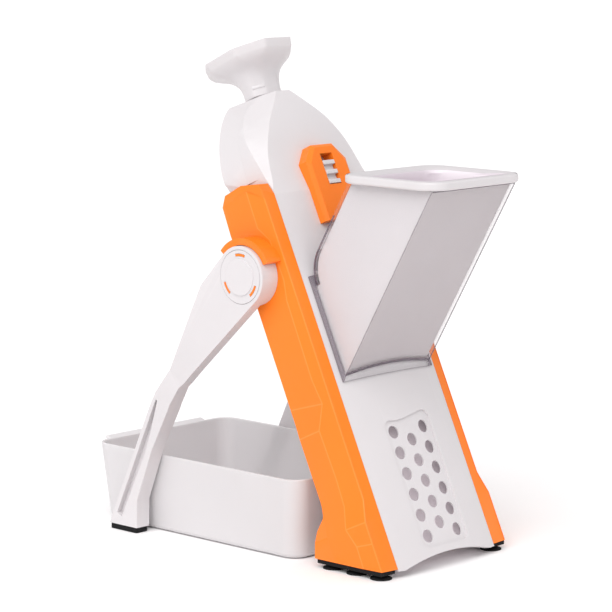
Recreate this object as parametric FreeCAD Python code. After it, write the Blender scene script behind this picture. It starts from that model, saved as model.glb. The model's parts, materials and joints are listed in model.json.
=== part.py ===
import FreeCAD, Part
import math
import os

from FreeCAD import Vector

# Press-down mandoline slicer.  Millimetres, +Z up, the feed chute faces -Y and the
# plane X = 0 is the plane of symmetry.  The tall body leans back, so its own parts are
# drawn in a body frame: x across, d rearwards from the front face, s up along the body.

# ---- body ---------------------------------------------------------------------
LEAN = 25.2                 # degrees the body leans back from upright
BASE_Z = 6.8                # lower end of the rails above the table
PANEL_HALF = 53.3           # half width of the white body between the rails
BODY_DEPTH = 41.0           # front face to rear face
WALL = 2.6                  # white shell
CROWN = 5.4                 # how far the front bulges at its middle
DOME_TOP = 365.0            # upper end of the body, along s
COVER_S = 240.0             # lower edge of the rear cover
COVER_SPLIT = 21.3          # depth of the seam between front panel and rear cover
BOTTOM_ARCH = 5.0           # rise of the arched lower edge of the front
BOSS_HALF = 3.2             # radius of the screw bosses of the rear cover
RIB_INSET = 3.7             # side of the body to the middle of the ribs behind the carrier
GUIDE_HALF = 1.4
SPRING_BAR_T = 4.0          # cross bars that hold the upper ends of the return springs

# ---- food opening, travel and blades --------------------------------------------
MOUTH_LOW = 147.0
MOUTH_HIGH = 213.0
MOUTH_HALF = 41.0
TRAVEL = 88.0               # stroke of the press handle
SLIDE_GAP = 0.6             # between the moving carrier and the body
BLADE_T = 1.0
BLADE_DROP = 14.0           # height of the V of the main blade
PLATE_T = 2.2
THICKNESS_TRAVEL = 6.0      # thickest slice
COMB_TRAVEL = 3.5           # how far the comb of small blades comes forward
COMB_PITCH = 6.0
COMB_COUNT = 9
COMB_T = 0.5
CARRIER_BAR = 7.3           # side bars of the moving carrier
STOP_GAP = 0.4              # left between moving pieces at the end of a travel

# ---- handle -----------------------------------------------------------------
ROD_HALF_X = 12.0
ROD_HALF_D = 8.0
ROD_D = 29.0                # depth of the rod's axis behind the front face
ROD_GAP = 0.5
KNOB_HALF_X = 31.0
KNOB_HALF_D = 34.0
KNOB_TOP = 402.5            # rim of the knob, along s
KNOB_RIM = 6.5
KNOB_SHIFT = 2.0            # the knob sits this far behind the rod's axis
KNOB_CROWN = 3.0
COLLAR_S = 366.5            # lower end of the knob's socket
COLLAR_GROW = 3.4           # wall of that socket round the rod

# ---- rails, pads and suction cups ----------------------------------------------
RAIL_GAP = 0.3
RAIL_WIDTH = 11.0
RAIL_WALL = 2.4
RAIL_TOP = 298.0
FLARE = 5.4                 # extra width of the rail's foot
FLARE_LOW = 38.0
FLARE_HIGH = 54.0
HEEL_Y = 64.5               # rear face of the rail's foot
PAD_T = 3.4
CUP_R = 7.8
CUP_YS = (9.0, 31.5, 54.0)

# ---- leg pivots ---------------------------------------------------------------
HUB_S = 234.2
HUB_D = 32.3
HUB_R = 22.4
HUB_T = 15.8
BOSS_R = 17.4
BOSS_FIT = 0.06             # radial running clearance of the leg on its boss
CAP_R = 19.5
CAP_T = 3.0
SIDE_GAP = 0.4
COLLAR_T = 5.0
COLLAR_OUT = 13.5           # how far the stop collar stands out from the rail
COLLAR_FROM = 37.0          # degrees from +Y towards +Z
COLLAR_TO = 153.0

# ---- legs -------------------------------------------------------------------
LEG_CLEAR = 3.2             # between the rail's foot and the leg
LEG_PLATE = 9.8             # thickness of the leg's upper plate
LEG_STRUT = 13.0            # thickness of its lower strut
LEG_FOOT_Y = 246.6          # middle of the foot
LEG_FOOT_T = 4.3
LEG_GROOVE = 4.4

# ---- tray -------------------------------------------------------------------
TRAY_GAP = 1.2              # between the tray's rim and the legs
TRAY_FRONT = 81.0
TRAY_LENGTH = 213.0
TRAY_HEIGHT = 60.5
TRAY_DRAFT = 5.5
TRAY_R = 14.0
TRAY_WALL = 2.2
TRAY_LIFT = 0.3

# ---- chute and pusher ---------------------------------------------------------
FEED_LEAN = 29.7            # degrees the chute leans forward from upright
CHUTE_LOW = 140.0           # where its front wall meets the front face, along s
CHUTE_DEPTH = 68.0
CHUTE_HALF = 45.9
CHUTE_WALL = 1.5
CHUTE_BEND = 28.0
CHUTE_TOP_Z = 275.4
FLANGE_HALF = 48.5
FLANGE_LOW = 138.6
FLANGE_HIGH = 219.0
FLANGE_T = 2.0
PUSH_GAP = 0.4
PUSH_WALL = 2.2
LIP_T = 6.2
LIP_OVER = 6.2
LIP_R = 17.0

# ---- front grille --------------------------------------------------------------
GRILL_HALF = 24.8
GRILL_LOW = 8.6
GRILL_HIGH = 105.0
GRILL_SINK = 1.5
HOLE_R = 4.85
HOLE_PITCH_X = 16.2
HOLE_PITCH_S = 15.7
HOLE_LOW = 17.2

# ---- lock ------------------------------------------------------------------
LOCK_HALF = 21.5
LOCK_LOW = 256.0
LOCK_HIGH = 314.5
LOCK_PROUD = 6.5
LOCK_SEAT = 0.1             # between the lock plate and the front it is glued to
SLIDER_HALF = 6.0
SLIDER_LOW = 283.5
SLIDER_LONG = 18.0
LOCK_TRAVEL = 5.0

# ---- thickness dial and return springs -------------------------------------------
DIAL_S = 88.0
DIAL_R = 14.0
DIAL_D = 24.0               # depth of the dial's front
DIAL_T = 9.0
DIAL_GRIPS = 16
GRIP_R = 1.3
SHAFT_R = 3.0
SHAFT_FIT = 0.06
SPRING_X = 22.0
SPRING_R = 4.0
WIRE_R = 0.5
SPRING_PITCH = 6.0
SCREW_R = 1.5

SIN = math.sin(math.radians(LEAN))
COS = math.cos(math.radians(LEAN))
FAR = 400.0                 # longer than anything it is cut from
RAIL_IN = PANEL_HALF + RAIL_GAP
RAIL_OUT = RAIL_IN + RAIL_WIDTH
LEG_IN = RAIL_OUT + FLARE + LEG_CLEAR
PLATE_OUT = RAIL_OUT + SIDE_GAP + HUB_T
CROWN_R = (PANEL_HALF ** 2 + CROWN ** 2) / (2 * CROWN)
X_AXIS = Vector(1, 0, 0)
Y_AXIS = Vector(0, 1, 0)
Z_AXIS = Vector(0, 0, 1)

parts = {}


# ---- helpers -----------------------------------------------------------------
def leaned(shape):
    """Take a shape from the body frame to the standing frame."""
    out = shape.copy()
    out.rotate(Vector(0, 0, 0), X_AXIS, -LEAN)
    out.translate(Vector(0, 0, BASE_Z))
    return out


def yz(d, s):
    """Standing (y, z) of a body-frame point."""
    return (s * SIN + d * COS, BASE_Z + s * COS - d * SIN)


def box(x0, x1, y0, y1, z0, z1):
    return Part.makeBox(x1 - x0, y1 - y0, z1 - z0, Vector(x0, y0, z0))


def prism_x(points, x0, x1):
    """Solid from x0 to x1 on an outline of (y, z) points."""
    wire = Part.makePolygon([Vector(x0, y, z) for y, z in points + points[:1]])
    return Part.Face(wire).extrude(Vector(x1 - x0, 0, 0))


def prism_y(points, y0, y1):
    """Solid from y0 to y1 on an outline of (x, z) points."""
    wire = Part.makePolygon([Vector(x, y0, z) for x, z in points + points[:1]])
    return Part.Face(wire).extrude(Vector(0, y1 - y0, 0))


def prism_z(points, z0, z1):
    """Solid from z0 to z1 on an outline of (x, y) points."""
    wire = Part.makePolygon([Vector(x, y, z0) for x, y in points + points[:1]])
    return Part.Face(wire).extrude(Vector(0, 0, z1 - z0))


def rod_x(r, x0, x1, y, z):
    return Part.makeCylinder(r, x1 - x0, Vector(x0, y, z), X_AXIS)


def rod_y(r, y0, y1, x, z):
    return Part.makeCylinder(r, y1 - y0, Vector(x, y0, z), Y_AXIS)


def rod_z(r, z0, z1, x, y):
    return Part.makeCylinder(r, z1 - z0, Vector(x, y, z0), Z_AXIS)


def round_rect(half_x, y0, y1, r, z):
    """Closed wire: a rectangle with round corners, flat at height z."""
    corners = [(half_x - r, y1 - r, 0), (r - half_x, y1 - r, 90),
               (r - half_x, y0 + r, 180), (half_x - r, y0 + r, 270)]
    edges = []
    ends = []
    for cx, cy, start in corners:
        arc = Part.Circle(Vector(cx, cy, z), Z_AXIS, r)
        edge = arc.toShape(math.radians(start), math.radians(start + 90))
        edges.append(edge)
        ends.append((edge.valueAt(edge.FirstParameter), edge.valueAt(edge.LastParameter)))
    joined = []
    for index, edge in enumerate(edges):
        joined.append(edge)
        joined.append(Part.makeLine(ends[index][1], ends[(index + 1) % 4][0]))
    return Part.Wire(joined)


def mirrored(shape):
    return shape.mirror(Vector(0, 0, 0), X_AXIS)


def crown_block(offset):
    """Everything behind the crowned front face moved out by offset (body frame)."""
    return Part.makeCylinder(CROWN_R + offset, FAR + 200,
                             Vector(0, CROWN_R - CROWN, -100), Z_AXIS)


# ---- white body ---------------------------------------------------------------
# The dome's outline as (x, s): at the front face, and at the rear face.
SIDE_FRONT = [(PANEL_HALF, 284.0), (51.6, 308.0), (50.0, 323.0), (39.6, 342.5), (15.9, 359.5),
              (6.0, DOME_TOP)]
SIDE_REAR = [(57.0, 307.0), (56.5, 315.0), (54.8, 323.0), (46.8, 342.5), (34.0, 359.5),
             (27.0, DOME_TOP)]
# Half width of the front face at depth 0 once its 45 degree bevel has cut the corners.
BEVEL = [(66.0, 262.0), (54.0, 284.0), (48.6, 295.0), (44.6, 308.0), (38.7, 323.0),
         (31.8, 334.0), (24.8, 342.5), (15.2, 351.0), (4.7, 359.7), (-7.0, 369.0)]
# How far the front face has drawn back at each height of the dome.
BROW = [(283.0, 0.08), (299.0, 2.3), (312.0, 3.6), (328.0, 5.0), (342.0, 7.4), (352.0, 10.0),
        (375.0, 18.0)]
NOSE = 6.0                  # how far the drawn block starts in front of the face


def spline(points, depth):
    curve = Part.BSplineCurve()
    curve.interpolate([Vector(x, depth, s) for x, s in points])
    return curve.toShape()


def side_wire(depth, inset, low):
    """Outline of the body at one depth, shrunk by inset."""
    share = depth / BODY_DEPTH
    side = []
    for index, ((x0, s0), (x1, s1)) in enumerate(zip(SIDE_FRONT, SIDE_REAR)):
        drop = inset * (0.5 if index < 4 else 1.0)
        side.append((x0 + (x1 - x0) * share - inset, s0 + (s1 - s0) * share - drop))
    neck = side[0][1] - 8.0
    foot_r = Vector(PANEL_HALF - inset, depth, low)
    foot_l = Vector(-foot_r.x, depth, low)
    neck_r = Vector(PANEL_HALF - inset, depth, neck)
    neck_l = Vector(-neck_r.x, depth, neck)
    right = [Vector(x, depth, s) for x, s in side]
    mirror_side = [(-x, s) for x, s in reversed(side)]
    first_l = Vector(-right[0].x, depth, right[0].z)
    last_l = Vector(-right[-1].x, depth, right[-1].z)
    return Part.Wire([Part.makeLine(foot_l, foot_r), Part.makeLine(foot_r, neck_r),
                      Part.makeLine(neck_r, right[0]), spline(side, depth),
                      Part.makeLine(right[-1], last_l), spline(mirror_side, depth),
                      Part.makeLine(first_l, neck_l), Part.makeLine(neck_l, foot_l)])


def bevel_block(inset):
    """Everything left of the right-hand bevel, which runs back and outwards at 45 degrees."""
    back = NOSE + 4.0
    edge = [(x - back - inset * math.sqrt(2), s) for x, s in BEVEL]
    top = Vector(edge[-1][0], -back, edge[-1][1])
    low = Vector(edge[0][0], -back, edge[0][1])
    corners = [low, Vector(low.x, -back, -100), Vector(-FAR, -back, -100),
               Vector(-FAR, -back, top.z), top]
    lines = [Part.makeLine(a, b) for a, b in zip(corners, corners[1:])]
    wire = Part.Wire([spline(edge, -back)] + lines[::-1])
    return Part.Face(wire).extrude(Vector(BODY_DEPTH + 20, BODY_DEPTH + 20, 0))


def body_block(inset, low, back):
    """The body's volume from its crowned front to a depth of back."""
    block = Part.makeLoft([side_wire(-NOSE, inset, low), side_wire(back, inset, low)],
                          True, True)
    right = bevel_block(inset)
    return block.common(brow_block(-inset)).common(right).common(mirrored(right))


def brow_block(offset):
    """The crowned block whose front draws back towards the top of the dome."""
    sections = []
    half = PANEL_HALF + 12.0
    radius = CROWN_R + offset
    drop = radius - math.sqrt(radius ** 2 - half ** 2)
    for s, back in BROW:
        middle = back - CROWN - offset
        left = Vector(-half, middle + drop, s)
        right = Vector(half, middle + drop, s)
        rear_r = Vector(half, 150.0, s)
        rear_l = Vector(-half, 150.0, s)
        arc = Part.Arc(left, Vector(0, middle, s), right).toShape()
        sections.append(Part.Wire([arc, Part.makeLine(right, rear_r),
                                   Part.makeLine(rear_r, rear_l), Part.makeLine(rear_l, left)]))
    dome = Part.makeLoft(sections, True, False)
    column = crown_block(offset).common(box(-FAR, FAR, -FAR, FAR, -100, BROW[0][0]))
    return column.fuse(dome)


def grill_recess():
    """Shallow field round the holes, with a wavy top edge."""
    wave = [Vector(GRILL_HALF, 0, GRILL_HIGH + 3), Vector(8, 0, GRILL_HIGH + 1.2),
            Vector(-6, 0, GRILL_HIGH - 1), Vector(-GRILL_HALF, 0, GRILL_HIGH + 1.5)]
    curve = Part.BSplineCurve()
    curve.interpolate(wave)
    low_r = Vector(GRILL_HALF, 0, GRILL_LOW)
    low_l = Vector(-GRILL_HALF, 0, GRILL_LOW)
    wire = Part.Wire([Part.makeLine(low_l, low_r), Part.makeLine(low_r, wave[0]),
                      curve.toShape(), Part.makeLine(wave[-1], low_l)])
    field = Part.Face(wire).extrude(Vector(0, -2 * CROWN, 0))
    field = field.makeFillet(6.0, [e for e in field.Edges if upright_corner(e)])
    return field.cut(crown_block(-GRILL_SINK))


def upright_corner(edge):
    """True for the straight edges that run along the body's depth."""
    first, last = edge.Vertexes[0].Point, edge.Vertexes[-1].Point
    return abs(first.x - last.x) < 0.01 and abs(first.z - last.z) < 0.01


def grill_holes():
    holes = []
    for column in (-1, 0, 1):
        count = 5 if column == 0 else 6
        start = HOLE_LOW + (HOLE_PITCH_S / 2 if column == 0 else 0)
        for row in range(count):
            holes.append(rod_y(HOLE_R, -20, 20, column * HOLE_PITCH_X,
                               start + row * HOLE_PITCH_S))
    return Part.makeCompound(holes)


def rod_section(gap, low, high):
    """The press rod's bevelled section between two heights, grown by gap."""
    hx, hd, cut = ROD_HALF_X + gap, ROD_HALF_D + gap, 3.0
    outline = [(-hx, ROD_D - hd + cut), (cut - hx, ROD_D - hd), (hx - cut, ROD_D - hd),
               (hx, ROD_D - hd + cut), (hx, ROD_D + hd - cut), (hx - cut, ROD_D + hd),
               (cut - hx, ROD_D + hd), (-hx, ROD_D + hd - cut)]
    return prism_z(outline, low, high)


# Screw bosses of the rear cover: x, s and the depth at which each boss starts.
SCREW_SPOTS = [(47.0, 298.0, 8.0), (-47.0, 298.0, 8.0), (34.0, 337.0, 15.0), (-34.0, 337.0, 15.0)]
HEAD_T = 0.8                # screw heads
ANCHOR_S = DOME_TOP - 19.0


def below_shoulder(half, s):
    """The two spaces beside the body where the rails stand."""
    return Part.makeCompound([box(half, FAR, -FAR, FAR, -FAR, s),
                              box(-FAR, -half, -FAR, FAR, -FAR, s)])


def make_body():
    outer = body_block(0.0, -30.0, BODY_DEPTH)
    outer = outer.cut(below_shoulder(PANEL_HALF, RAIL_TOP + 1.0))
    inner = body_block(WALL, -40.0, BODY_DEPTH - WALL)
    inner = inner.cut(below_shoulder(PANEL_HALF - WALL, RAIL_TOP + 1.0 + WALL))
    shell = outer.cut(inner)
    shell = shell.cut(box(WALL - PANEL_HALF, PANEL_HALF - WALL, COVER_SPLIT, FAR, -40, COVER_S))
    arch_half = PANEL_HALF - 9.0
    arch_r = (arch_half ** 2 + BOTTOM_ARCH ** 2) / (2 * BOTTOM_ARCH)
    arch = rod_y(arch_r, -20, COVER_SPLIT, 0, BOTTOM_ARCH - 1.5 - arch_r)
    shell = shell.cut(arch.common(box(WALL - PANEL_HALF, PANEL_HALF - WALL, -20, 20, -100, 40)))
    shell = shell.cut(grill_recess()).cut(grill_holes())
    shell = shell.cut(box(-MOUTH_HALF, MOUTH_HALF, -20, 10, MOUTH_LOW, MOUTH_HIGH))
    shell = shell.cut(rod_section(ROD_GAP, DOME_TOP - 10, DOME_TOP + 10))
    shell = shell.cut(box(-3.5, 3.5, -20, 5, SLIDER_LOW + 3.5, SLIDER_LOW + 13.5 + LOCK_TRAVEL))
    bosses = []
    for x, s, start in SCREW_SPOTS:
        wall_x = x + math.copysign(14.0, x)
        boss = rod_y(BOSS_HALF, start, BODY_DEPTH - WALL + 0.5, x, s)
        web = box(min(x, wall_x), max(x, wall_x), start + 2, 30, s - 1.2, s + 1.2)
        bosses.append(boss.fuse(web.common(outer)))
    guide = CARRIER_BACK + SLIDE_GAP
    rib_x = PANEL_HALF - RIB_INSET
    ribs = [box(side * rib_x - GUIDE_HALF, side * rib_x + GUIDE_HALF, guide, guide + 2, 40,
                RAIL_TOP - 28) for side in (-1, 1)]
    brace = box(WALL / 2 - PANEL_HALF, PANEL_HALF - WALL / 2, 33, BODY_DEPTH, 40, 52)
    inside = shell.fuse(bosses + [r.common(outer) for r in ribs] + [brace.common(outer)])
    anchors = [box(side * SPRING_X - 6, side * SPRING_X + 6, 23, BODY_DEPTH - 1, ANCHOR_S,
                   ANCHOR_S + SPRING_BAR_T) for side in (-1, 1)]
    inside = inside.fuse(anchors)
    shanks = [rod_y(SCREW_R, start + 3.5, FAR, x, s) for x, s, start in SCREW_SPOTS]
    inside = inside.cut(Part.makeCompound(shanks))
    rear_zone = box(-FAR, FAR, COVER_SPLIT, FAR, COVER_S, FAR + 100)
    front = leaned(inside.cut(rear_zone))
    front = front.cut(box(-FAR, FAR, -FAR, FAR, -100, BASE_Z - 1.5))
    parts["front_panel"] = front
    parts["rear_cover"] = leaned(inside.common(rear_zone))
    screws = []
    for x, s, start in SCREW_SPOTS:
        head = rod_y(3.0, BODY_DEPTH, BODY_DEPTH + HEAD_T, x, s)
        slot = box(x - 2.2, x + 2.2, BODY_DEPTH + HEAD_T / 3, FAR, s - 0.4, s + 0.4)
        screws.append(head.cut(slot).fuse(rod_y(SCREW_R, start + 5, BODY_DEPTH, x, s)))
    parts["cover_screws"] = leaned(Part.makeCompound(screws))


# ---- orange rails ---------------------------------------------------------------
def rail_block(inset):
    """The right rail as a block, shrunk by inset on every face but its inner one."""
    depth = BODY_DEPTH
    local = [(0, 284), (3, 293), (19, RAIL_TOP), (37, RAIL_TOP - 1), (depth + 2, RAIL_TOP - 8),
             (depth + 3, 268), (depth, 215), (depth, 80)]
    outline = [yz(d, s) for d, s in local]
    outline += [(HEEL_Y + 2.1, 53.0), (HEEL_Y - 1.3, 44.0), (HEEL_Y - 3.2, 35.5), (HEEL_Y, 26.0),
                (HEEL_Y, BASE_Z), (0, BASE_Z)]
    wire = Part.makePolygon([Vector(0, y, z) for y, z in outline + outline[:1]])
    if inset:
        wire = wire.makeOffset2D(-inset)
    side = Part.Face(wire).extrude(Vector(FAR, 0, 0))
    sections = []
    for s, grow in ((-60, FLARE), (FLARE_LOW, FLARE), (FLARE_HIGH, 0), (FAR, 0)):
        out = RAIL_OUT + grow - inset
        corner = [(RAIL_IN, inset), (out - 1.2, 1.6 + inset / 2), (out, 19.4), (out, 120),
                  (RAIL_IN, 120)]
        sections.append(Part.makePolygon([Vector(x, d, s) for x, d in corner + corner[:1]]))
    block = leaned(Part.makeLoft(sections, True, True))
    return block.common(side)


def ring_sector(r_in, r_out, x0, x1, start, stop):
    """Part of a ring about the X axis at the origin, angles from +Y towards +Z."""
    steps = 24
    angles = [math.radians(start + (stop - start) * i / steps) for i in range(steps + 1)]
    reach = r_out * 1.2
    wedge = [(0, 0)] + [(reach * math.cos(a), reach * math.sin(a)) for a in angles]
    ring = rod_x(r_out, x0, x1, 0, 0).cut(rod_x(r_in, x0 - 1, x1 + 1, 0, 0))
    return ring.common(prism_x(wedge, x0 - 1, x1 + 1))


HUB_Y, HUB_Z = yz(HUB_D, HUB_S)
HUB = Vector(0, HUB_Y, HUB_Z)
BOSS_END = PLATE_OUT - CAP_T + 0.2


def at_hub(shape):
    out = shape.copy()
    out.translate(HUB)
    return out


def make_rails():
    rail = rail_block(0.0).cut(rail_block(RAIL_WALL))
    lobe = rod_x(HUB_R - 1.0, RAIL_IN, RAIL_OUT, 0, 0)
    boss = rod_x(BOSS_R, RAIL_IN, BOSS_END, 0, 0)
    collar = ring_sector(HUB_R + 0.5, HUB_R + 0.5 + COLLAR_T, RAIL_OUT - 2.5, RAIL_OUT + COLLAR_OUT,
                         COLLAR_FROM, COLLAR_TO)
    rail = rail.fuse([at_hub(lobe), at_hub(boss), at_hub(collar)])
    rail = rail.cut(at_hub(rod_x(BOSS_R - 3.2, RAIL_IN - 1, BOSS_END + 1, 0, 0)))
    hooks = [at_hub(ring_sector(BOSS_R - 2.2, BOSS_R - 0.6, BOSS_END - 0.5, PLATE_OUT + 0.2,
                                mid - 16, mid + 16)) for mid in (90, 215, 325)]
    rail = rail.fuse(hooks).removeSplitter()
    parts["right_rail"] = rail
    parts["left_rail"] = mirrored(rail)
    cap = rod_x(CAP_R, BOSS_END, BOSS_END + CAP_T, 0, 0)
    cap = cap.fuse(rod_x(BOSS_R - 4.0, BOSS_END + CAP_T, BOSS_END + CAP_T + 0.8, 0, 0))
    for mid in (90, 215, 325):
        cap = cap.cut(ring_sector(BOSS_R - 2.4, BOSS_R - 0.4, BOSS_END - 1, PLATE_OUT + 9,
                                  mid - 17, mid + 17))
    parts["hub_cap_right"] = at_hub(cap)
    parts["hub_cap_left"] = mirrored(parts["hub_cap_right"])


def make_pads():
    out = RAIL_OUT + FLARE
    pad = box(RAIL_IN, out - 1.0, 2.0, HEEL_Y - 1.0, BASE_Z - PAD_T, BASE_Z)
    pad = pad.makeFillet(1.2, [e for e in pad.Edges if abs(e.BoundBox.ZLength - PAD_T) < 0.01])
    parts["rail_pad_right"] = pad
    middle = (RAIL_IN + out - 1.0) / 2
    top = BASE_Z - PAD_T
    profile = [Vector(0, 0, 1.2), Vector(CUP_R - 2.0, 0, 0.4), Vector(CUP_R, 0, 0),
               Vector(CUP_R, 0, 0.8), Vector(3.0, 0, top - 0.6), Vector(3.0, 0, top),
               Vector(0, 0, top), Vector(0, 0, 1.2)]
    cup = Part.Face(Part.makePolygon(profile)).revolve(Vector(0, 0, 0), Z_AXIS, 360)
    cups = []
    for y in CUP_YS:
        one = cup.copy()
        one.translate(Vector(middle, y, 0))
        cups.append(one)
    parts["suction_cups_right"] = Part.makeCompound(cups)
    parts["rail_pad_left"] = mirrored(pad)
    parts["suction_cups_left"] = mirrored(parts["suction_cups_right"])


# ---- legs -------------------------------------------------------------------
# Stations along the line from the pivot to the foot: distance, offset to the rear.
LEG_REAR = [(-5.3, 21.8), (29.0, 29.5), (103.0, 23.8), (134.6, 23.2), (250.0, 12.2)]
LEG_FRONT = [(226.0, -12.9), (206.6, -2.1), (163.0, 4.7), (126.5, 6.2), (108.0, 8.3),
             (89.0, 3.1), (7.1, -21.2)]
KNEE = 108.0                # distance at which the plate steps out into the strut


RAMP_FROM = KNEE - 6.0      # the strut's outer face rises out of the plate between these
RAMP_TO = KNEE + 14.0
LEG_TURN = math.atan2(LEG_FOOT_Y - HUB_Y, HUB_Z - LEG_FOOT_T)


def leg_outline(points):
    """Standing (y, z) of points given along and across the line from pivot to foot."""
    along_y, along_z = math.sin(LEG_TURN), -math.cos(LEG_TURN)
    return [(HUB_Y + t * along_y - w * along_z, HUB_Z + t * along_z + w * along_y)
            for t, w in points]


def ramp_cut(low_x, high_x, corner):
    """What is cut away so that a face ramps from low_x to high_x; corner is (x, distance)."""
    slope = (RAMP_TO - RAMP_FROM) / (high_x - low_x)
    ends = [(x, -RAMP_FROM - slope * (x - low_x)) for x in (low_x - 2.0, high_x + 2.0)]
    wedge = prism_y(ends + [(corner[0], -corner[1])], -90, 90)
    wedge.rotate(Vector(0, 0, 0), X_AXIS, math.degrees(LEG_TURN))
    return at_hub(wedge)


def make_legs():
    whole = leg_outline(LEG_REAR + LEG_FRONT)
    upper_cut = leg_outline([(-90, -90), (-90, 90), (KNEE + 14, 90), (KNEE + 14, -90)])
    lower_cut = leg_outline([(RAMP_FROM, -90), (RAMP_FROM, 90), (400, 90), (400, -90)])
    plate_in = PLATE_OUT - LEG_PLATE
    strut_out = LEG_IN + LEG_STRUT
    upper = prism_x(whole, plate_in, PLATE_OUT).common(prism_x(upper_cut, 0, FAR))
    strut = prism_x(whole, LEG_IN, strut_out).common(prism_x(lower_cut, 0, FAR))
    groove_line = leg_outline([(127, 20.5), (150, 18.3), (228, 10.5), (228, 4.8), (210, 6.0),
                               (170, 9.0), (150, 13.0), (127, 18.8)])
    strut = strut.cut(prism_x(groove_line, strut_out - LEG_GROOVE, strut_out + 1))
    strut = strut.cut(ramp_cut(PLATE_OUT, strut_out, (strut_out + 2.0, RAMP_FROM - 20.0)))
    upper = upper.cut(ramp_cut(plate_in, LEG_IN, (plate_in - 2.0, RAMP_TO + 40.0)))
    hub = at_hub(rod_x(HUB_R, RAIL_OUT + SIDE_GAP, PLATE_OUT, 0, 0))
    leg = hub.fuse([upper, strut])
    leg = leg.cut(at_hub(rod_x(BOSS_R + BOSS_FIT, 0, FAR, 0, 0)))
    leg = leg.cut(at_hub(rod_x(CAP_R + 0.3, BOSS_END - 0.2, FAR, 0, 0)))
    leg = leg.cut(box(-FAR, FAR, -FAR, FAR, -100, LEG_FOOT_T))
    parts["leg_right"] = leg.removeSplitter()
    parts["leg_left"] = mirrored(parts["leg_right"])
    sole = prism_x(whole, LEG_IN, strut_out)
    sole_box = sole.common(box(0, FAR, 0, FAR, LEG_FOOT_T, LEG_FOOT_T + 0.2)).BoundBox
    foot = box(LEG_IN + 0.4, strut_out - 0.4, sole_box.YMin + 0.5, sole_box.YMax - 0.5,
               0, LEG_FOOT_T)
    foot = foot.makeFillet(2.0, [e for e in foot.Edges
                                 if abs(e.BoundBox.ZLength - LEG_FOOT_T) < 0.01])
    parts["leg_foot_right"] = foot
    parts["leg_foot_left"] = mirrored(foot)


# ---- tray -------------------------------------------------------------------
def make_tray():
    half = LEG_IN - TRAY_GAP
    rear = TRAY_FRONT + TRAY_LENGTH
    top = TRAY_HEIGHT

    def layer(inset, z, radius):
        lean = TRAY_DRAFT * (1 - z / TRAY_HEIGHT)
        return round_rect(half - lean - inset, TRAY_FRONT + lean + inset,
                          rear - lean - inset, radius, z)

    outer = Part.makeLoft([layer(0, TRAY_LIFT, TRAY_R), layer(0, top, TRAY_R)], True, True)
    low_edges = [e for e in outer.Edges if e.BoundBox.ZMax < TRAY_LIFT + 0.01]
    outer = outer.makeFillet(5.0, low_edges)
    inner = Part.makeLoft([layer(TRAY_WALL, TRAY_LIFT + TRAY_WALL, TRAY_R - TRAY_WALL),
                           layer(TRAY_WALL, top + 1, TRAY_R - TRAY_WALL)], True, True)
    lip_half = 0.72 * half
    lip = [(rear - 1.5, top - 2.4), (rear + 7.0, top + 0.6), (rear + 9.0, top + 0.2),
           (rear + 9.0, top - 1.6), (rear - 1.5, top - 6.0)]
    grip = prism_x(lip, -lip_half, lip_half)
    tray = outer.fuse(grip).cut(inner)
    parts["tray"] = tray.removeSplitter()


# ---- chute and pusher (body frame) -------------------------------------------------
FEED = math.radians(FEED_LEAN + LEAN)
FEED_D = -math.sin(FEED)
FEED_S = math.cos(FEED)


def feed_point(along, across):
    """(d, s) of a point along the chute and across it from its front wall's outside."""
    return (along * FEED_D + across * FEED_S, CHUTE_LOW + along * FEED_S - across * FEED_D)


def feed_block(inset, half, reach):
    """The chute's volume shrunk by inset, from behind the front face out to reach."""
    centre_d = -4.0 - CHUTE_BEND
    across = CHUTE_DEPTH - CHUTE_BEND
    centre_s = CHUTE_LOW + (across - centre_d * FEED_S) / -FEED_D
    r = CHUTE_BEND - inset

    def on_bend(degrees):
        a = math.radians(degrees)
        return Vector(-half, centre_d + r * math.cos(a), centre_s + r * math.sin(a))

    def point(d, s):
        return Vector(-half, d, s)

    end = math.degrees(math.atan2(-FEED_D, FEED_S))
    front_low = point(*feed_point(-9.0, inset))
    front_top = point(*feed_point(reach, inset))
    rear_top = point(*feed_point(reach, CHUTE_DEPTH - inset))
    tail = Vector(-half, 8.0, centre_s)
    low = Vector(-half, 8.0, front_low.z)
    wire = Part.Wire([Part.makeLine(front_low, front_top), Part.makeLine(front_top, rear_top),
                      Part.makeLine(rear_top, on_bend(end)),
                      Part.Arc(on_bend(end), on_bend(end / 2), on_bend(0)).toShape(),
                      Part.makeLine(on_bend(0), tail), Part.makeLine(tail, low),
                      Part.makeLine(low, front_low)])
    return Part.Face(wire).extrude(Vector(2 * half, 0, 0))


def make_chute():
    tube = feed_block(0.0, CHUTE_HALF, 260.0)
    bore = feed_block(CHUTE_WALL, CHUTE_HALF - CHUTE_WALL, 300.0)
    flange = crown_block(FLANGE_T).cut(crown_block(0.05))
    flange = flange.common(box(-FLANGE_HALF, FLANGE_HALF, -20, 5, FLANGE_LOW, FLANGE_HIGH))
    walls = leaned(tube.cut(crown_block(0.05)).fuse(flange).cut(bore))
    above = box(-FAR, FAR, -FAR, FAR, CHUTE_TOP_Z, 2 * FAR)
    parts["chute"] = walls.cut(above).removeSplitter()


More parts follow.
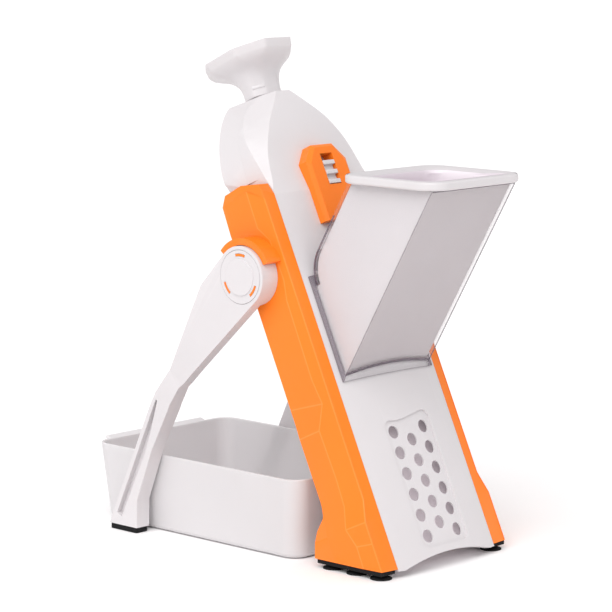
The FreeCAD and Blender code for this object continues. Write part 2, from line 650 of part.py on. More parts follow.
def make_pusher():
    step = CHUTE_WALL + PUSH_GAP
    lip_top = CHUTE_TOP_Z + 0.3 + LIP_T
    cup = leaned(feed_block(step, CHUTE_HALF - step, 300.0).cut(crown_block(PUSH_GAP)))
    cup = cup.cut(box(-FAR, FAR, -FAR, FAR, lip_top, 2 * FAR))
    hollow = feed_block(step + PUSH_WALL, CHUTE_HALF - step - PUSH_WALL, 320.0)
    hollow = leaned(hollow.cut(crown_block(PUSH_GAP + PUSH_WALL)))
    along = (CHUTE_TOP_Z - yz(0, CHUTE_LOW)[1]) / math.cos(math.radians(FEED_LEAN))
    front_y = yz(*feed_point(along, 0.0))[0] - LIP_OVER
    rear_y = front_y + CHUTE_DEPTH / math.cos(math.radians(FEED_LEAN)) + 2 * LIP_OVER
    rim_face = Part.Face(round_rect(CHUTE_HALF + LIP_OVER, front_y, rear_y, LIP_R,
                                    CHUTE_TOP_Z + 0.3))
    rim = rim_face.extrude(Vector(0, 0, LIP_T))
    rim = rim.makeFillet(1.8, [e for e in rim.Edges if e.BoundBox.ZLength < 0.01])
    parts["food_pusher"] = cup.fuse(rim).cut(hollow).removeSplitter()


# ---- handle, carrier and blades (body frame) -----------------------------------------
CARRIER_FRONT = 6.2
CARRIER_BACK = 21.7
CARRIER_LOW = 6.0
CARRIER_TOP = DOME_TOP - TRAVEL - 37.0
FRAME_HALF = PANEL_HALF - WALL - SLIDE_GAP
WINDOW_HALF = FRAME_HALF - CARRIER_BAR
BLADE_TOP = MOUTH_LOW - 1.0
PLATE_TOP = MOUTH_LOW - 23.0
NECK_HALF = FRAME_HALF - CARRIER_BAR - 2.0
CARRIER_FOOT = 5.6          # height of its lowest bar
CORNER_CUT = 13.0           # keeps the raised carrier clear of the dome
PLATE_BOSS = 14.0           # rear end of the boss on the thickness plate
BAR_FRONT = PLATE_BOSS + THICKNESS_TRAVEL + STOP_GAP
BAR_BACK = BAR_FRONT + 3.0
SHAFT_FRONT = PLATE_BOSS - 1.4
COMB_D = CARRIER_FRONT + COMB_TRAVEL + 2 * STOP_GAP
COMB_S = PLATE_TOP + SLIDE_GAP


def make_carrier():
    outline = [(-FRAME_HALF, CARRIER_LOW), (FRAME_HALF, CARRIER_LOW), (FRAME_HALF, 188),
               (NECK_HALF, 206), (NECK_HALF, CARRIER_TOP - CORNER_CUT),
               (NECK_HALF - CORNER_CUT, CARRIER_TOP), (CORNER_CUT - NECK_HALF, CARRIER_TOP),
               (-NECK_HALF, CARRIER_TOP - CORNER_CUT), (-NECK_HALF, 206), (-FRAME_HALF, 188)]
    frame = prism_y(outline, CARRIER_FRONT, CARRIER_BACK)
    frame = frame.cut(box(-WINDOW_HALF, WINDOW_HALF, 0, 40, CARRIER_LOW + CARRIER_FOOT,
                          BLADE_TOP - 4))
    frame = frame.cut(box(6 - NECK_HALF, NECK_HALF - 6, 0, 40, BLADE_TOP + 6, CARRIER_TOP - 18))
    bar = box(-WINDOW_HALF - 2, WINDOW_HALF + 2, BAR_FRONT, BAR_BACK, DIAL_S - 8, DIAL_S + 8)
    bar = bar.fuse([box(side * WINDOW_HALF - 2, side * WINDOW_HALF + 2, CARRIER_BACK - 3.6,
                        BAR_BACK, DIAL_S - 8, DIAL_S + 8) for side in (-1, 1)])
    ends = box(-FRAME_HALF + 2, FRAME_HALF - 2, 0, 40, 0, 400)
    socket = box(-SPRING_X - 6, SPRING_X + 6, 18, ROD_D + 8.8, CARRIER_TOP - 14, CARRIER_TOP)
    frame = frame.fuse([bar.common(ends), socket])
    frame = frame.cut(rod_section(0.0, CARRIER_TOP - 12, CARRIER_TOP + 10))
    frame = frame.cut(rod_y(SHAFT_R + SHAFT_FIT, 0, 40, 0, DIAL_S))
    frame = frame.cut(Part.makeCompound([rod_y(SCREW_R, 0, 14, x, s) for x, s in BLADE_SPOTS]))
    frame = leaned(frame).cut(box(-FAR, FAR, -FAR, FAR, -100, BASE_Z))
    parts["blade_carrier"] = frame
    high = CARRIER_TOP - 16
    outline = [(-WINDOW_HALF, BLADE_TOP + 0.2), (WINDOW_HALF, BLADE_TOP + 0.2),
               (WINDOW_HALF, high - CORNER_CUT), (WINDOW_HALF - CORNER_CUT, high),
               (CORNER_CUT - WINDOW_HALF, high), (-WINDOW_HALF, high - CORNER_CUT)]
    plate = prism_y(outline, CARRIER_FRONT - 2.6, CARRIER_FRONT)
    plate = plate.makeFillet(2.0, [e for e in plate.Edges if upright_corner(e)])
    parts["landing_plate"] = leaned(plate)


BLADE_SPOTS = [(FRAME_HALF - 3.8, BLADE_TOP - 7), (3.8 - FRAME_HALF, BLADE_TOP - 7)]


def make_blades():
    half = FRAME_HALF - 1.0
    low = BLADE_TOP - 6.0 - BLADE_DROP
    outline = [(-half, BLADE_TOP), (-half, low), (0, low + BLADE_DROP), (half, low),
               (half, BLADE_TOP)]
    blade = prism_y(outline, CARRIER_FRONT - BLADE_T, CARRIER_FRONT)
    holes = [rod_y(SCREW_R, 0, 20, x, s) for x, s in BLADE_SPOTS]
    parts["v_blade"] = leaned(blade.cut(Part.makeCompound(holes)))
    screws = []
    for x, s in BLADE_SPOTS:
        head = rod_y(2.4, CARRIER_FRONT - BLADE_T - 1.0, CARRIER_FRONT - BLADE_T, x, s)
        screws.append(head.fuse(rod_y(SCREW_R, CARRIER_FRONT - BLADE_T, 13, x, s)))
    parts["blade_screws"] = leaned(Part.makeCompound(screws))
    bar_half = WINDOW_HALF - STOP_GAP
    bar = box(-bar_half, bar_half, COMB_D, COMB_D + 3.0, COMB_S, COMB_S + 3.8)
    tab = box(18, 26, COMB_D + 3.0, CARRIER_BACK - 1.6, COMB_S, COMB_S + 3.8)
    parts["comb_bar"] = leaned(bar.fuse(tab))
    teeth = []
    for index in range(COMB_COUNT):
        x = (index - (COMB_COUNT - 1) / 2) * COMB_PITCH
        tip = CARRIER_FRONT + 0.2
        tooth = [(COMB_D, COMB_S + 0.4), (COMB_D, COMB_S + 3.4), (tip, COMB_S + 3.4),
                 (tip + 1.2, COMB_S + 0.4)]
        teeth.append(prism_x(tooth, x - COMB_T / 2, x + COMB_T / 2))
    parts["comb_blades"] = leaned(Part.makeCompound(teeth))


def make_thickness():
    front = CARRIER_FRONT
    plate = box(SLIDE_GAP - WINDOW_HALF, WINDOW_HALF - SLIDE_GAP, front, front + PLATE_T,
                CARRIER_LOW + CARRIER_FOOT + SLIDE_GAP, PLATE_TOP)
    boss = rod_y(2 * SHAFT_R, front + PLATE_T, PLATE_BOSS, 0, DIAL_S)
    plate = plate.fuse(boss).cut(rod_y(SHAFT_R + 0.3, 0, 40, 0, DIAL_S))
    parts["thickness_plate"] = leaned(plate)
    shaft_back = DIAL_D + 6.0
    parts["dial_shaft"] = leaned(rod_y(SHAFT_R, SHAFT_FRONT, shaft_back, 0, DIAL_S))
    dial = rod_y(DIAL_R, DIAL_D, DIAL_D + DIAL_T, 0, DIAL_S)
    grooves = []
    for index in range(DIAL_GRIPS):
        a = 2 * math.pi * index / DIAL_GRIPS
        grooves.append(rod_y(GRIP_R, 20, 40, (DIAL_R + 0.3) * math.cos(a),
                             DIAL_S + (DIAL_R + 0.3) * math.sin(a)))
    dial = dial.cut(Part.makeCompound(grooves))
    pointer_d = DIAL_D + DIAL_T
    dial = dial.fuse(box(-1.2, 1.2, pointer_d, pointer_d + 1.2, DIAL_S + 3, DIAL_S + 12))
    dial = dial.cut(rod_y(SHAFT_R, 20, shaft_back, 0, DIAL_S))
    parts["thickness_dial"] = leaned(dial)


def octagon(hx, hd, s, corner):
    """Eight-sided wire round the handle, flat at height s."""
    cx, cd = hx * corner, hd * corner
    points = [(hx, cd), (cx, hd), (-cx, hd), (-hx, cd), (-hx, -cd), (-cx, -hd), (cx, -hd),
              (hx, -cd)]
    middle = ROD_D + (KNOB_SHIFT if hx > ROD_HALF_X + COLLAR_GROW else 0.0)
    points = [Vector(x, middle + d, s) for x, d in points]
    return Part.makePolygon(points + points[:1])


def make_handle():
    parts["handle_rod"] = leaned(rod_section(0.0, CARRIER_TOP - 12, KNOB_TOP - 14))
    rim_low = KNOB_TOP - KNOB_RIM
    grow = COLLAR_GROW
    layers = [(KNOB_HALF_X, KNOB_HALF_D, KNOB_TOP),
              (KNOB_HALF_X - 1.4, KNOB_HALF_D - 1.4, rim_low),
              (KNOB_HALF_X - 3.5, KNOB_HALF_D - 3.5, rim_low - 3.6),
              (KNOB_HALF_X - 11, KNOB_HALF_D - 14, rim_low - 9.0),
              (ROD_HALF_X + grow + 2, ROD_HALF_D + grow + 2, rim_low - 15.0),
              (ROD_HALF_X + grow, ROD_HALF_D + grow, rim_low - 21.0),
              (ROD_HALF_X + grow, ROD_HALF_D + grow, COLLAR_S)]
    body = Part.makeLoft([octagon(x, d, s, 0.45) for x, d, s in layers], True, True)
    body = body.cut(rod_section(0.0, COLLAR_S - 1, KNOB_TOP - 14))
    recess = Part.Face(octagon(KNOB_HALF_X - 4, KNOB_HALF_D - 4, KNOB_TOP - 2, 0.45))
    body = body.cut(recess.extrude(Vector(0, 0, 10)))
    parts["handle_knob"] = leaned(body)
    cap = Part.makeLoft([octagon(KNOB_HALF_X - 4.2, KNOB_HALF_D - 4.2, KNOB_TOP - 2, 0.45),
                         octagon(KNOB_HALF_X - 4.2, KNOB_HALF_D - 4.2, KNOB_TOP + 0.5, 0.45),
                         octagon(KNOB_HALF_X - 13, KNOB_HALF_D - 13, KNOB_TOP + KNOB_CROWN, 0.45)],
                        True, True)
    parts["knob_cap"] = leaned(cap)


def make_springs():
    low = CARRIER_TOP + 0.3 + WIRE_R
    high = ANCHOR_S - 0.3 - WIRE_R
    helix = Part.makeHelix(SPRING_PITCH, high - low, SPRING_R)
    start = Part.Wire(Part.makeCircle(WIRE_R, Vector(SPRING_R, 0, 0), Y_AXIS))
    coil = Part.Wire(helix.Edges).makePipeShell([start], True, True)
    coil.translate(Vector(SPRING_X, ROD_D, low))
    parts["return_spring_right"] = leaned(coil)
    parts["return_spring_left"] = mirrored(parts["return_spring_right"])


# ---- lock (body frame) ------------------------------------------------------------
def make_lock():
    face = CROWN + LOCK_PROUD
    outline = [(-LOCK_HALF, LOCK_LOW), (LOCK_HALF, LOCK_LOW), (LOCK_HALF, LOCK_HIGH - 12),
               (LOCK_HALF - 10, LOCK_HIGH), (10 - LOCK_HALF, LOCK_HIGH),
               (-LOCK_HALF, LOCK_HIGH - 12)]
    low = Part.makePolygon([Vector(x, 0, s) for x, s in outline + outline[:1]])
    inner = [(x * 0.86, s if s == LOCK_LOW else s - 2.5) for x, s in outline]
    mid = Part.makePolygon([Vector(x, 2 - face, s) for x, s in outline + outline[:1]])
    top = Part.makePolygon([Vector(x, -face, s) for x, s in inner + inner[:1]])
    plate = Part.makeLoft([low, mid, top], True, True).cut(brow_block(LOCK_SEAT))
    slot = box(-SLIDER_HALF - 0.4, SLIDER_HALF + 0.4, -30, 10, SLIDER_LOW - 0.5,
               SLIDER_LOW + SLIDER_LONG + LOCK_TRAVEL + 0.5)
    parts["lock_plate"] = leaned(plate.cut(slot))
    thumb = box(-SLIDER_HALF, SLIDER_HALF, -face + 2.5, 0.3 - CROWN - 1.2, SLIDER_LOW,
                SLIDER_LOW + SLIDER_LONG)
    ribs = [box(-SLIDER_HALF, SLIDER_HALF, -face - 0.6, -face + 3, s, s + 3.2)
            for s in (SLIDER_LOW, SLIDER_LOW + 7.4, SLIDER_LOW + 14.8)]
    stem = box(-3.0, 3.0, -face + 3, 1.2, SLIDER_LOW + 4, SLIDER_LOW + 13)
    parts["lock_slider"] = leaned(thumb.fuse(ribs + [stem]))


make_body()
make_rails()
make_pads()
make_legs()
make_tray()
make_chute()
make_pusher()
make_carrier()
make_blades()
make_thickness()
make_handle()
make_springs()
make_lock()

# ---- move the origin to the middle of the footprint and write the files -----------------
bounds = Part.makeCompound(list(parts.values())).optimalBoundingBox(False, False)
shift = Vector(0, -(bounds.YMin + bounds.YMax) / 2, -bounds.ZMin)
os.makedirs("parts", exist_ok=True)
for name, shape in parts.items():
    placed = shape.copy()
    placed.translate(shift)
    placed.exportStep("parts/" + name + ".step")

print("size", round(bounds.XLength, 2), round(bounds.YLength, 2), round(bounds.ZLength, 2))
print("shift", round(shift.y, 3), round(shift.z, 3))
print("leg pivot", round(HUB_Y + shift.y, 3), round(HUB_Z + shift.z, 3))
print("body axis up", round(SIN, 6), round(COS, 6))
print("feed axis", round(-math.sin(math.radians(FEED_LEAN)), 6),
      round(math.cos(math.radians(FEED_LEAN)), 6))
dial_y, dial_z = yz(DIAL_D, DIAL_S)
print("dial", round(dial_y + shift.y, 3), round(dial_z + shift.z, 3))
print("travels", TRAVEL, THICKNESS_TRAVEL, COMB_TRAVEL, LOCK_TRAVEL)
for name, shape in parts.items():
    print(name, len(shape.Solids), round(shape.Volume), shape.isValid())
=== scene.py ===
# %% [markdown]
# # A press-down slicer on folding legs
# This lesson dresses a finished CAD model. The CAD gives every size and every joint, and
# Blender adds what moulding adds: soft edges, flow in the plastic, rubber, clear walls.
# Everything could be drawn anew here, but nothing would then promise that the pieces still
# fit and move. So we load the model first.

# %% load the model
import json
import math

import bmesh
import bpy
from mathutils import Matrix, Vector

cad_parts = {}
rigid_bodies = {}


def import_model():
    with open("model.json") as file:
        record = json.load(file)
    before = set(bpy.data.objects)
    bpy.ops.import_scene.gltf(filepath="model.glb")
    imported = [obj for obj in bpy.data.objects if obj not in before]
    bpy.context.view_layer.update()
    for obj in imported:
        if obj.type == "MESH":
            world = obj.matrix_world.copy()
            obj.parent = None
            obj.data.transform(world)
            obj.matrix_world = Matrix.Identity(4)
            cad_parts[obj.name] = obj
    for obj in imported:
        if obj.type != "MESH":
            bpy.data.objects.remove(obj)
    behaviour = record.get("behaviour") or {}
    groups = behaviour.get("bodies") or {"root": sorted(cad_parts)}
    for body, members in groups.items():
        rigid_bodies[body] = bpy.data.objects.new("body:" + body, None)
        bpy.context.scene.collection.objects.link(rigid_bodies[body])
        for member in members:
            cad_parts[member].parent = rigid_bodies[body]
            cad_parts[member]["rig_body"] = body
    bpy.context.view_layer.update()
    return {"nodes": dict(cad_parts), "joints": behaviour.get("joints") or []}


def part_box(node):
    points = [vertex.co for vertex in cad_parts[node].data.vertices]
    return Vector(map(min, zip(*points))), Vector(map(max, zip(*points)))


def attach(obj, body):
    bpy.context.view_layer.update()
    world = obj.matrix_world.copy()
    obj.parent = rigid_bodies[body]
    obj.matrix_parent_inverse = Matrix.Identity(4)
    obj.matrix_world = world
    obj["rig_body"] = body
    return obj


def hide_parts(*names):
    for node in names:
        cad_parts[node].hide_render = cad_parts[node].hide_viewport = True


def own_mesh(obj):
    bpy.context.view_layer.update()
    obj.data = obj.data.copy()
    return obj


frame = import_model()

NODES = frame["nodes"]
MM = 0.001
AXES = {joint["name"]: joint["axis"] for joint in frame["joints"]}
BODY_UP, FEED_UP = AXES["handle_raise"], AXES["pusher_slide"]
print("nodes:", len(NODES))

# %% [markdown]
# ## Camera and studio
# A long lens from a little above eye level keeps the upright body from tapering. The camera
# could be aimed with a constraint at a target, but a slight roll is easier to see and to
# change when the turn is written as three plain angles: round the object, down, and roll.

# %% camera
scene = bpy.context.scene
scene.view_settings.view_transform = "Standard"

EYE = Vector((-1.47864, -1.36799, 0.47909))
ROUND, DOWN, ROLL_TURN = math.radians(-47.2), math.radians(8.605), math.radians(0.228)
turn = (Matrix.Rotation(ROUND, 4, "Z") @ Matrix.Rotation(math.pi / 2 - DOWN, 4, "X")
        @ Matrix.Rotation(ROLL_TURN, 4, "Z"))
lens = bpy.data.cameras.new("long_lens")
lens.lens, lens.sensor_width = 161.16, 36.0
lens.clip_end = 200.0
camera = bpy.data.objects.new("camera", lens)
scene.collection.objects.link(camera)
camera.matrix_world = Matrix.Translation(EYE) @ turn
scene.camera = camera
print("camera at", [round(v, 3) for v in camera.location])

# %% [markdown]
# ## Light
# A white product is easiest to read when its faces differ by a few per cent. Several soft
# boxes could do that, but each would leave its own shadow. Here a pale room fills everything
# and one large soft light stands at the upper left, so the faces turned to the front stay a
# little darker than those on the left. The floor is a plain pale sheet.

# %% studio
world = bpy.data.worlds.new("pale_room")
scene.world = world
world.use_nodes = True
sky = world.node_tree.nodes["Background"]
sky.inputs["Color"].default_value = (1.0, 0.99, 0.995, 1.0)
sky.inputs["Strength"].default_value = 0.70

WINDOW_AT, MIDDLE = Vector((-1.3, -0.65, 1.75)), Vector((0.0, 0.0, 0.18))
window = bpy.data.lights.new("soft_window", "SUN")
window.energy, window.angle = 1.95, math.radians(55.0)
window_stand = bpy.data.objects.new("soft_window", window)
scene.collection.objects.link(window_stand)
window_stand.location = WINDOW_AT
window_stand.rotation_euler = (MIDDLE - WINDOW_AT).to_track_quat("-Z", "Y").to_euler()

bpy.ops.mesh.primitive_grid_add(x_subdivisions=8, y_subdivisions=8, size=80.0)
floor = bpy.context.object
floor.name = "floor"
paper = bpy.data.materials.new("pale_floor")
paper.use_nodes = True
sheet = paper.node_tree.nodes["Principled BSDF"]
sheet.inputs["Base Color"].default_value = (1.0, 0.99, 0.99, 1.0)
sheet.inputs["Roughness"].default_value = 0.9
floor.data.materials.append(paper)

# %% [markdown]
# ## Small helpers for materials
# A material is a small tree of nodes. It can be wired by hand each time, but the same few
# moves come back in every finish: start a tree, add a noise, stretch its values, turn them
# into relief. We write each move once. A noise keeps most of its values in a narrow band
# round its middle, so a stretch names the band that it spreads out.

# %% material helpers
MIDDLE_BAND, WIDE_BAND = (0.35, 0.65), (0.3, 0.7)


def node(tree, kind, **values):
    """Add a shader node and set its plain fields and its input sockets by name."""
    made = tree.nodes.new(kind)
    for key, value in values.items():
        if hasattr(made, key):
            setattr(made, key, value)
        else:
            made.inputs[key.replace("_", " ")].default_value = value
    return made


def start_material(slot, title):
    """A new material for a slot: the material, its tree, its shader, and the place signal."""
    material = bpy.data.materials.new(title)
    material["slot"] = slot
    material.use_nodes = True
    tree = material.node_tree
    place = node(tree, "ShaderNodeTexCoord").outputs["Object"]
    print("finish:", title)
    return material, tree, tree.nodes["Principled BSDF"], place


def noise(tree, place, **values):
    """A noise signal laid out along a place signal."""
    texture = node(tree, "ShaderNodeTexNoise", **values)
    tree.links.new(place, texture.inputs["Vector"])
    return texture.outputs["Fac"]


def stretched(tree, source, band, out_low, out_high):
    """Spread the part of a signal that lies in a band between two values."""
    fit = node(tree, "ShaderNodeMapRange", From_Min=band[0], From_Max=band[1],
               To_Min=out_low, To_Max=out_high)
    tree.links.new(source, fit.inputs["Value"])
    return fit.outputs["Result"]


def relief(tree, height, strength, distance, below=None):
    """Turn a height signal into relief, on top of another relief where one is given."""
    bump = node(tree, "ShaderNodeBump", Strength=strength, Distance=distance)
    tree.links.new(height, bump.inputs["Height"])
    if below:
        tree.links.new(below, bump.inputs["Normal"])
    return bump.outputs["Normal"]


def settle(shader, **values):
    """Set shader sockets that are the same all over the surface."""
    for key, value in values.items():
        shader.inputs[key.replace("_", " ")].default_value = value


print("noise bands:", MIDDLE_BAND, WIDE_BAND)


# %% [markdown]
# ## Plastic
# Moulded plastic is never one flat colour. Pigment drifts a little with the flow, the tool's
# fine spark-eroded grain breaks up the shine, and handled edges turn paler. A painted texture
# could hold all that, but it would need unwrapping and would blur close up. One helper writes
# these layers as nodes instead, and each finish sets its own amounts.

# %% the moulded plastic helper
EDGE_BAND = (0.53, 0.62)       # pointiness, from a nearly flat face to a rounded edge
PLASTIC_IOR = 1.49
DULLER, GLOSSIER = 0.07, 0.05  # how far roughness strays from its middle
WORN_PALE = 0.45               # how far towards white a worn edge goes
WAVE_STRENGTH, WAVE_HIGH, GRAIN_HIGH = 0.12, 0.0004, 0.0001


def deeper(color, share):
    """The same pigment, stronger or weaker by a share of itself."""
    return [min(1.0, c * (1.0 + share)) for c in color[:3]] + [1.0]


def paler(color, share):
    """A colour moved towards white, as rubbed plastic is."""
    return [c + (1.0 - c) * share for c in color[:3]] + [1.0]


def moulded(slot, color, rough, grain=0.025, drift=0.02, wear=0.10, subsurface=0.0,
            glow=(1.0, 0.9, 0.88), depth=0.004, grain_scale=1500.0, shine=0.5, painted_glow=0.0,
            title=None):
    """A moulded plastic or rubber: pigment drift, tool grain, flow waves, worn edges and a painted
    glow.
    """
    material, tree, shader, place = start_material(slot, title or slot + "_finish")
    flow = noise(tree, place, Scale=9.0, Detail=3.0)
    cloud = noise(tree, place, Scale=70.0, Detail=6.0, Roughness=0.6)
    fine = noise(tree, place, Scale=grain_scale, Detail=2.0)
    edge = node(tree, "ShaderNodeNewGeometry").outputs["Pointiness"]

    base = node(tree, "ShaderNodeMix", data_type="RGBA")
    base.inputs["A"].default_value = deeper(color, -drift)
    base.inputs["B"].default_value = deeper(color, drift)
    worn = node(tree, "ShaderNodeMix", data_type="RGBA")
    worn.inputs["B"].default_value = paler(color, WORN_PALE)
    tree.links.new(stretched(tree, flow, MIDDLE_BAND, 0.0, 1.0), base.inputs["Factor"])
    tree.links.new(stretched(tree, edge, EDGE_BAND, 0.0, wear), worn.inputs["Factor"])
    tree.links.new(base.outputs["Result"], worn.inputs["A"])
    tree.links.new(worn.outputs["Result"], shader.inputs["Base Color"])
    tree.links.new(stretched(tree, cloud, WIDE_BAND, rough - GLOSSIER, rough + DULLER),
                   shader.inputs["Roughness"])

    waves = relief(tree, flow, WAVE_STRENGTH, WAVE_HIGH)
    tree.links.new(relief(tree, fine, grain, GRAIN_HIGH, below=waves), shader.inputs["Normal"])
    # painted_glow makes the finish glow faintly: painted light that stands in for light gathered
    # from around it.
    settle(shader, Subsurface_Weight=subsurface, Subsurface_Radius=glow, Subsurface_Scale=depth,
           IOR=PLASTIC_IOR, Specular_IOR_Level=shine, Emission_Color=(1.0, 0.92, 0.96, 1.0),
           Emission_Strength=painted_glow)
    return material


print("edge band:", EDGE_BAND)

# %% [markdown]
# Here are the finishes. The shell is white with a trace of rose, and the orange lets a
# warmer light through. The inside of a white cup gathers light from all its walls, and so do
# the pieces inside the shell. More lamps could show that, but they would flatten the rest,
# so these two finishes are painted lighter and glow a little: painted light. The rolled rim
# takes a darker copy of the white, painted shade for its fully lit top, and the crease
# finish is a brighter orange, a painted highlight. The tray is milky: light sinks in and
# comes out soft, so it needs strong subsurface, and more depth than the shell.

# %% plastic and rubber finishes
WHITE = moulded("white_plastic", (0.675, 0.647, 0.658), 0.38, grain=0.01, subsurface=0.10)
# The roll finish is darker than the white: painted shade for the rolled rim's fully lit top.
ROLL_PAINTED_SHADE = moulded("white_plastic", (0.63, 0.60, 0.615), 0.38, title="roll_painted_shade")
# The cup finish is lighter than the white and glows: painted light for the light the cup gathers.
CUP_PAINTED_LIGHT = moulded("white_plastic", (0.82, 0.765, 0.805), 0.40, painted_glow=0.06, title="cup_painted_light")
ORANGE = moulded("orange_plastic", (0.97, 0.215, 0.012), 0.40, wear=0.03, subsurface=0.05,
                 glow=(1.0, 0.30, 0.05), shine=0.35)
# The crease finish is a brighter orange: a painted highlight along the rails' creases.
CREASE_HIGHLIGHT = moulded("orange_plastic", (1.0, 0.262, 0.030), 0.36, title="orange_crease_highlight")
RUBBER = moulded("black_rubber", (0.010, 0.010, 0.011), 0.7, grain=0.25, drift=0.15, wear=0.02,
                 grain_scale=900.0, shine=0.15)
# The inside finish is lighter than the shell and glows: painted light for light reaching the
# pieces inside.
INNER_PAINTED_LIGHT = moulded("inner_plastic", (0.91, 0.83, 0.87), 0.5, grain=0.12, painted_glow=0.06)
FROSTED = moulded("frosted_plastic", (0.655, 0.635, 0.645), 0.42, grain=0.06,
                  subsurface=0.35, glow=(1.0, 0.97, 0.97), depth=0.012)

# %% [markdown]
# ## Clear plastic
# The chute is clear and polished, so most of it is see-through and only its edges, where the
# wall is seen end on, turn grey. Real refraction through thin double walls is slow and noisy,
# so the wall is simply partly see-through, and less so at a glancing angle. One finish serves
# the side walls, a darker one the edges, and a middle one the wall that leans forward: a
# painted shade that dims the cup's front seen through it.

# %% clear finishes
GLANCE_BAND = (0.25, 0.95)     # facing, from nearly square on to nearly edge on


def clear_plastic(title, color, low, high):
    """Clear plastic, covering by low when seen square on and by high at a glancing angle."""
    material, tree, shader, place = start_material("clear_plastic", title)
    haze = noise(tree, place, Scale=40.0, Detail=5.0)
    facing = node(tree, "ShaderNodeLayerWeight", Blend=0.25).outputs["Facing"]
    tree.links.new(stretched(tree, facing, GLANCE_BAND, low, high), shader.inputs["Alpha"])
    tree.links.new(stretched(tree, haze, WIDE_BAND, 0.04, 0.10), shader.inputs["Roughness"])
    settle(shader, Base_Color=color, IOR=PLASTIC_IOR)
    return material


CLEAR = clear_plastic("clear_wall", (0.70, 0.66, 0.70, 1.0), 0.06, 0.50)
CLEAR_EDGE = clear_plastic("clear_edge", (0.15, 0.11, 0.15, 1.0), 0.52, 0.88)
CLEAR_PAINTED_SHADE = clear_plastic("clear_front_painted_shade", (0.40, 0.33, 0.35, 1.0), 0.20, 0.40)

# %% [markdown]
# ## Steel
# Blades are ground, which leaves fine lines all one way; screws and springs are plated and
# even. An anisotropic shader could give the first, but it needs tangents on every mesh. A
# noise that can be drawn out along one axis needs nothing, so both steels are made from it.

# %% steel finishes


def steel(slot, color, rough, squeeze):
    """Ground steel: a noise squeezed by axis, drawn out where the squeeze is small."""
    material, tree, shader, place = start_material(slot, slot + "_finish")
    drawn = node(tree, "ShaderNodeMapping", Scale=squeeze)
    tree.links.new(place, drawn.inputs["Vector"])
    lines = noise(tree, drawn.outputs["Vector"], Scale=400.0, Detail=4.0)
    tree.links.new(stretched(tree, lines, WIDE_BAND, rough - 0.08, rough + 0.12),
                   shader.inputs["Roughness"])
    tree.links.new(relief(tree, lines, 0.1, 0.0001), shader.inputs["Normal"])
    settle(shader, Base_Color=color, Metallic=1.0)
    return material


BLADE = steel("blade_steel", (0.70, 0.70, 0.71, 1.0), 0.26, (0.05, 1.0, 1.0))
PLATED = steel("plated_steel", (0.66, 0.66, 0.67, 1.0), 0.2, (1.0, 1.0, 1.0))

# %% [markdown]
# ## Soft edges
# A mould never leaves a knife edge. A subdivision surface would round edges too, but it pulls
# flat walls out of true. So a CAD piece keeps its shape: we copy it, join the flat triangles
# into whole faces again, bevel the sharp edges, and let the copy stand for the original. It
# rides on the same body, so it moves as the original did.

# %% the soft edge helper
WELD = 0.004 * MM              # corners closer than this are one corner
SHARP = math.radians(40.0)


def even_shading(piece, weight):
    """Let the large faces decide how the narrow ones beside them are shaded."""
    even = piece.modifiers.new("even_shading", "WEIGHTED_NORMAL")
    even.keep_sharp, even.weight = False, weight


def soften(name, node_name, material, width, segments=3, angle=26.0):
    """Replace a CAD node by a copy with rounded edges; width in millimetres, angle in degrees."""
    source = NODES[node_name]
    piece = bpy.data.objects.new(name, source.data.copy())
    scene.collection.objects.link(piece)
    mesh = piece.data
    work = bmesh.new()
    work.from_mesh(mesh)
    bmesh.ops.remove_doubles(work, verts=work.verts, dist=WELD)
    bmesh.ops.dissolve_limit(work, angle_limit=math.radians(0.5), verts=work.verts,
                             edges=work.edges)
    work.to_mesh(mesh)
    work.free()
    mesh.materials.clear()
    mesh.materials.append(material)
    mesh.polygons.foreach_set("use_smooth", [True] * len(mesh.polygons))
    mesh.polygons.foreach_set("material_index", [0] * len(mesh.polygons))
    if width:
        bevel = piece.modifiers.new("soft_edges", "BEVEL")
        bevel.width, bevel.segments = width * MM, segments
        bevel.limit_method, bevel.angle_limit = "ANGLE", math.radians(angle)
        bevel.miter_outer = "MITER_ARC"
    mesh.set_sharp_from_angle(angle=SHARP)
    even_shading(piece, 80)
    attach(piece, source["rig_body"])
    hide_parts(node_name)
    return piece


print("corners weld within", WELD, "m")

# %% [markdown]
# ## The clear chute
# Light that enters a clear sheet leaves through its narrow edges, so the walls nearly vanish
# and the edges look grey. The edges could be separate pieces, but they would have to follow
# every corner of the sheet. It is simpler to find the faces that are hardly wider than the
# wall is thick, and to give them the darker clear finish.

# %% darken the edges of the chute
BODY_FRONT = Vector((0.0, -BODY_UP[2], BODY_UP[1]))      # the way the chute's flange faces
FEED_FRONT = Vector((0.0, -FEED_UP[2], FEED_UP[1]))      # the way its front wall faces
FLANGE_COS, WALL_COS = 0.94, 0.97                        # cosines of the angle allowed for each
FLANGE_HALF = 45.0                                       # its edge faces lie further out
EDGE_FACE, SHADE_WALL_FACE = 1, 2                              # places in the chute's list of finishes
NARROW = 2.8                                             # widest face that counts as an edge


def narrow_faces(piece, width):
    """Edge finish on faces narrower than width, and painted shade on the forward leaning wall."""
    piece.data.materials.append(CLEAR_EDGE)
    piece.data.materials.append(CLEAR_PAINTED_SHADE)
    for face in piece.data.polygons:
        ring = [piece.data.vertices[i].co for i in face.vertices]
        around = sum((a - b).length for a, b in zip(ring, ring[1:] + ring[:1]))
        in_flange = (abs(face.normal.dot(BODY_FRONT)) > FLANGE_COS
                     and abs(face.center.x) < FLANGE_HALF * MM)
        # The forward leaning wall takes the darker clear finish, painted shade for the cup's
        # front.
        if face.normal.dot(FEED_FRONT) > WALL_COS:
            face.material_index = SHADE_WALL_FACE
        elif 2.0 * face.area / around < width * MM and not in_flange:
            face.material_index = EDGE_FACE
    narrow = [face for face in piece.data.polygons if face.material_index == EDGE_FACE]
    print("narrow faces:", len(narrow), "of", len(piece.data.polygons))


